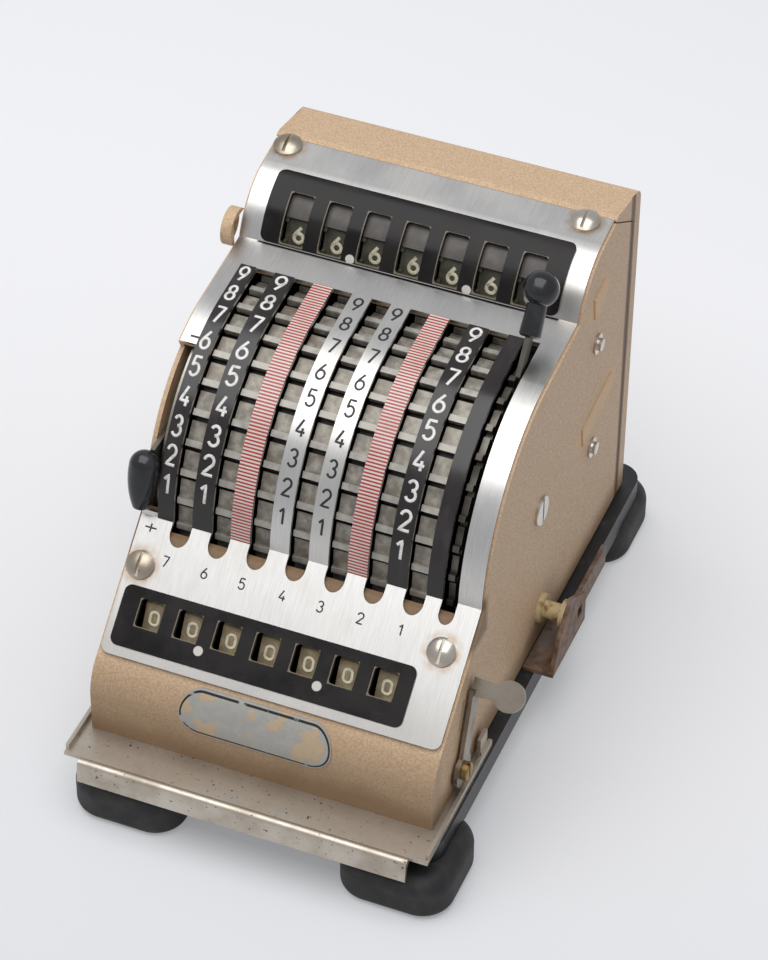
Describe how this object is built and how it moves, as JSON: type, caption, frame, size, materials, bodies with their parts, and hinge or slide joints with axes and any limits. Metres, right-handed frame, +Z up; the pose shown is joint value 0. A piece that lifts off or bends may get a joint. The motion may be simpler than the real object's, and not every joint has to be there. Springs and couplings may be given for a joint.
{
  "type": "pinwheel calculator",
  "caption": "Desk adding machine: toothed finger wheels behind a slotted curved face, geared to result and check numeral drums, with clearing and sign levers.",
  "frame": {"origin": "middle of the machine's outer box, on the table under the feet", "axes": "+X to the operator's right, +Y from the front to the back, +Z up"},
  "size_m": [0.1417, 0.2137, 0.1631],
  "materials": {
    "case_paint": "beige hammertone enamel, lightly worn at the edges",
    "face_aluminium": "satin brushed, stained round the screws",
    "dark_trim": "brown-black gloss, worn pale at the window edges",
    "strip_black": "black with white numerals",
    "strip_striped": "white with fine red cross stripes",
    "badge": "plain oval plate, dull",
    "nickel": "nickel plate, slightly pitted",
    "wheel_metal": "cast, dull and finger-worn",
    "drum_face": "grey-brown with cream numerals",
    "inner_steel": "bare, oiled",
    "shutter": "grey-brown enamel",
    "black_gloss": "moulded, glossy",
    "brass": "dull",
    "cream_paint": "cream enamel, rust-stained",
    "rusty_steel": "brown with rust",
    "black_paint": "satin black enamel",
    "foot_rubber": "matt moulded rubber"
  },
  "bodies": {
    "case": {"housing": "case_paint", "back_cover": "case_paint", "side_clip": "case_paint", "face_plate": "face_aluminium", "result_mask": "dark_trim", "check_mask": "dark_trim", "scale_strips_black": "strip_black", "scale_strips_striped": "strip_striped", "badge_plate": "badge", "face_screws": "nickel", "wheel_shaft": "inner_steel", "result_shaft": "inner_steel", "check_shaft": "inner_steel", "frame_left": "inner_steel", "frame_right": "inner_steel", "result_shutter": "shutter", "pivot_collar": "brass", "pivot_screw": "brass", "side_screw": "nickel", "side_studs": "nickel", "spool": "cream_paint", "side_bracket": "rusty_steel", "base_tray": "nickel", "tray_tab": "nickel", "sub_base": "black_paint", "foot_front_left": "foot_rubber", "foot_front_right": "foot_rubber", "foot_rear_left": "foot_rubber", "foot_rear_right": "foot_rubber"},
    "wheel_1": {"setting_wheel_1": "wheel_metal"},
    "result_1": {"result_drum_1": "drum_face"},
    "check_1": {"check_drum_1": "drum_face"},
    "wheel_2": {"setting_wheel_2": "wheel_metal"},
    "result_2": {"result_drum_2": "drum_face"},
    "check_2": {"check_drum_2": "drum_face"},
    "wheel_3": {"setting_wheel_3": "wheel_metal"},
    "result_3": {"result_drum_3": "drum_face"},
    "check_3": {"check_drum_3": "drum_face"},
    "wheel_4": {"setting_wheel_4": "wheel_metal"},
    "result_4": {"result_drum_4": "drum_face"},
    "check_4": {"check_drum_4": "drum_face"},
    "wheel_5": {"setting_wheel_5": "wheel_metal"},
    "result_5": {"result_drum_5": "drum_face"},
    "check_5": {"check_drum_5": "drum_face"},
    "wheel_6": {"setting_wheel_6": "wheel_metal"},
    "result_6": {"result_drum_6": "drum_face"},
    "check_6": {"check_drum_6": "drum_face"},
    "wheel_7": {"setting_wheel_7": "wheel_metal"},
    "result_7": {"result_drum_7": "drum_face"},
    "check_7": {"check_drum_7": "drum_face"},
    "clear_arm": {"clear_lever": "nickel", "clear_ball": "black_gloss"},
    "sign_arm": {"sign_lever": "inner_steel", "sign_knob": "black_gloss"},
    "thumb_arm": {"check_clear_lever": "nickel"}
  },
  "joints": [
    {"name": "wheel_1_turn", "type": "hinge", "parent": "case", "child": "wheel_1", "pos_m": [0.0294, 0.0082, 0.0799], "axis": [1, 0, 0], "continuous": true},
    {"name": "result_1_turn", "type": "hinge", "parent": "case", "child": "result_1", "pos_m": [0.0294, 0.05295, 0.13438], "axis": [1, 0, 0], "continuous": true},
    {"name": "check_1_turn", "type": "hinge", "parent": "case", "child": "check_1", "pos_m": [0.0294, -0.0565, 0.0519], "axis": [1, 0, 0], "continuous": true},
    {"name": "wheel_2_turn", "type": "hinge", "parent": "case", "child": "wheel_2", "pos_m": [0.0159, 0.0082, 0.0799], "axis": [1, 0, 0], "continuous": true},
    {"name": "result_2_turn", "type": "hinge", "parent": "case", "child": "result_2", "pos_m": [0.0159, 0.05295, 0.13438], "axis": [1, 0, 0], "continuous": true},
    {"name": "check_2_turn", "type": "hinge", "parent": "case", "child": "check_2", "pos_m": [0.0159, -0.0565, 0.0519], "axis": [1, 0, 0], "continuous": true},
    {"name": "wheel_3_turn", "type": "hinge", "parent": "case", "child": "wheel_3", "pos_m": [0.0024, 0.0082, 0.0799], "axis": [1, 0, 0], "continuous": true},
    {"name": "result_3_turn", "type": "hinge", "parent": "case", "child": "result_3", "pos_m": [0.0024, 0.05295, 0.13438], "axis": [1, 0, 0], "continuous": true},
    {"name": "check_3_turn", "type": "hinge", "parent": "case", "child": "check_3", "pos_m": [0.0024, -0.0565, 0.0519], "axis": [1, 0, 0], "continuous": true},
    {"name": "wheel_4_turn", "type": "hinge", "parent": "case", "child": "wheel_4", "pos_m": [-0.0111, 0.0082, 0.0799], "axis": [1, 0, 0], "continuous": true},
    {"name": "result_4_turn", "type": "hinge", "parent": "case", "child": "result_4", "pos_m": [-0.0111, 0.05295, 0.13438], "axis": [1, 0, 0], "continuous": true},
    {"name": "check_4_turn", "type": "hinge", "parent": "case", "child": "check_4", "pos_m": [-0.0111, -0.0565, 0.0519], "axis": [1, 0, 0], "continuous": true},
    {"name": "wheel_5_turn", "type": "hinge", "parent": "case", "child": "wheel_5", "pos_m": [-0.0246, 0.0082, 0.0799], "axis": [1, 0, 0], "continuous": true},
    {"name": "result_5_turn", "type": "hinge", "parent": "case", "child": "result_5", "pos_m": [-0.0246, 0.05295, 0.13438], "axis": [1, 0, 0], "continuous": true},
    {"name": "check_5_turn", "type": "hinge", "parent": "case", "child": "check_5", "pos_m": [-0.0246, -0.0565, 0.0519], "axis": [1, 0, 0], "continuous": true},
    {"name": "wheel_6_turn", "type": "hinge", "parent": "case", "child": "wheel_6", "pos_m": [-0.0381, 0.0082, 0.0799], "axis": [1, 0, 0], "continuous": true},
    {"name": "result_6_turn", "type": "hinge", "parent": "case", "child": "result_6", "pos_m": [-0.0381, 0.05295, 0.13438], "axis": [1, 0, 0], "continuous": true},
    {"name": "check_6_turn", "type": "hinge", "parent": "case", "child": "check_6", "pos_m": [-0.0381, -0.0565, 0.0519], "axis": [1, 0, 0], "continuous": true},
    {"name": "wheel_7_turn", "type": "hinge", "parent": "case", "child": "wheel_7", "pos_m": [-0.0516, 0.0082, 0.0799], "axis": [1, 0, 0], "continuous": true},
    {"name": "result_7_turn", "type": "hinge", "parent": "case", "child": "result_7", "pos_m": [-0.0516, 0.05295, 0.13438], "axis": [1, 0, 0], "continuous": true},
    {"name": "check_7_turn", "type": "hinge", "parent": "case", "child": "check_7", "pos_m": [-0.0516, -0.0565, 0.0519], "axis": [1, 0, 0], "continuous": true},
    {"name": "clear_lever_swing", "type": "hinge", "parent": "case", "child": "clear_arm", "pos_m": [0.0389, 0.0082, 0.0799], "axis": [1, 0, 0], "range_deg": [0, 78]},
    {"name": "sign_lever_swing", "type": "hinge", "parent": "case", "child": "sign_arm", "pos_m": [-0.065, 0.0082, 0.0799], "axis": [1, 0, 0], "range_deg": [-32, 0]},
    {"name": "check_clear_swing", "type": "hinge", "parent": "case", "child": "thumb_arm", "pos_m": [0.0531, -0.0685, 0.0325], "axis": [1, 0, 0], "range_deg": [0, 38], "stiffness_Nm_per_rad": 0.02, "springref_deg": -28.65}
  ],
  "couplings": [
    {"joint": "result_1_turn", "follows": "wheel_1_turn", "ratio": -3.4},
    {"joint": "check_1_turn", "follows": "wheel_1_turn", "ratio": -3.4},
    {"joint": "result_2_turn", "follows": "wheel_2_turn", "ratio": -3.4},
    {"joint": "check_2_turn", "follows": "wheel_2_turn", "ratio": -3.4},
    {"joint": "result_3_turn", "follows": "wheel_3_turn", "ratio": -3.4},
    {"joint": "check_3_turn", "follows": "wheel_3_turn", "ratio": -3.4},
    {"joint": "result_4_turn", "follows": "wheel_4_turn", "ratio": -3.4},
    {"joint": "check_4_turn", "follows": "wheel_4_turn", "ratio": -3.4},
    {"joint": "result_5_turn", "follows": "wheel_5_turn", "ratio": -3.4},
    {"joint": "check_5_turn", "follows": "wheel_5_turn", "ratio": -3.4},
    {"joint": "result_6_turn", "follows": "wheel_6_turn", "ratio": -3.4},
    {"joint": "check_6_turn", "follows": "wheel_6_turn", "ratio": -3.4},
    {"joint": "result_7_turn", "follows": "wheel_7_turn", "ratio": -3.4},
    {"joint": "check_7_turn", "follows": "wheel_7_turn", "ratio": -3.4}
  ]
}
